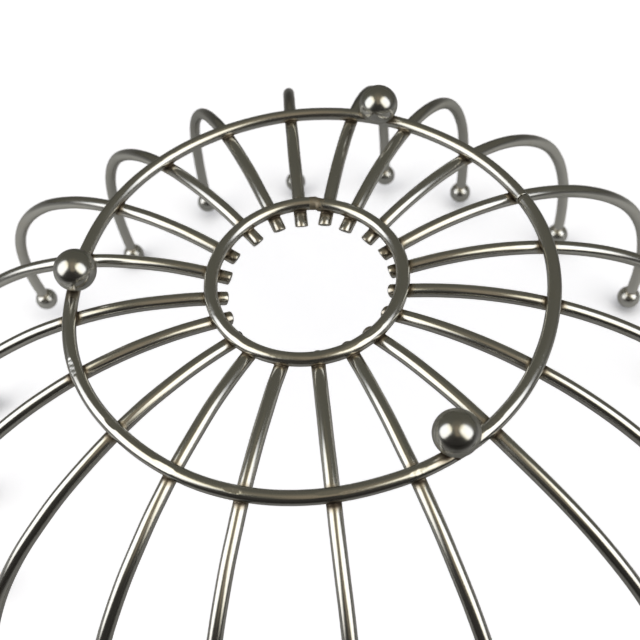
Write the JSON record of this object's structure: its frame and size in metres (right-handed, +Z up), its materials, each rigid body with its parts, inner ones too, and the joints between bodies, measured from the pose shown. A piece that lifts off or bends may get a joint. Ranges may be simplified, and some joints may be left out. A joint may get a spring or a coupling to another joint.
{
  "type": "wire fruit bowl",
  "caption": "Open wire fruit bowl: bent radial wires joined by a large foot ring and a small centre ring, with ball tips at the rim and ball feet.",
  "frame": {"origin": "on the bowl's axis, in the plane its three ball feet stand on", "axes": "+Z up through the open mouth; the three feet are spread about Z, one close to +X"},
  "size_m": [0.2781, 0.278, 0.1144],
  "materials": {
    "wire": "satin nickel-plated steel wire",
    "tip_balls": "satin nickel-plated steel",
    "foot_balls": "satin nickel-plated steel"
  },
  "bodies": {
    "root": {"rib_01": "wire", "rib_02": "wire", "rib_03": "wire", "rib_04": "wire", "rib_05": "wire", "rib_06": "wire", "rib_07": "wire", "rib_08": "wire", "rib_09": "wire", "rib_10": "wire", "rib_11": "wire", "rib_12": "wire", "rib_13": "wire", "rib_14": "wire", "rib_15": "wire", "rib_16": "wire", "rib_17": "wire", "rib_18": "wire", "rib_19": "wire", "rib_20": "wire", "tip_ball_01": "tip_balls", "tip_ball_02": "tip_balls", "tip_ball_03": "tip_balls", "tip_ball_04": "tip_balls", "tip_ball_05": "tip_balls", "tip_ball_06": "tip_balls", "tip_ball_07": "tip_balls", "tip_ball_08": "tip_balls", "tip_ball_09": "tip_balls", "tip_ball_10": "tip_balls", "tip_ball_11": "tip_balls", "tip_ball_12": "tip_balls", "tip_ball_13": "tip_balls", "tip_ball_14": "tip_balls", "tip_ball_15": "tip_balls", "tip_ball_16": "tip_balls", "tip_ball_17": "tip_balls", "tip_ball_18": "tip_balls", "tip_ball_19": "tip_balls", "tip_ball_20": "tip_balls", "foot_ring": "wire", "inner_ring": "wire", "foot_ball_1": "foot_balls", "foot_ball_2": "foot_balls", "foot_ball_3": "foot_balls"}
  },
  "joints": []
}
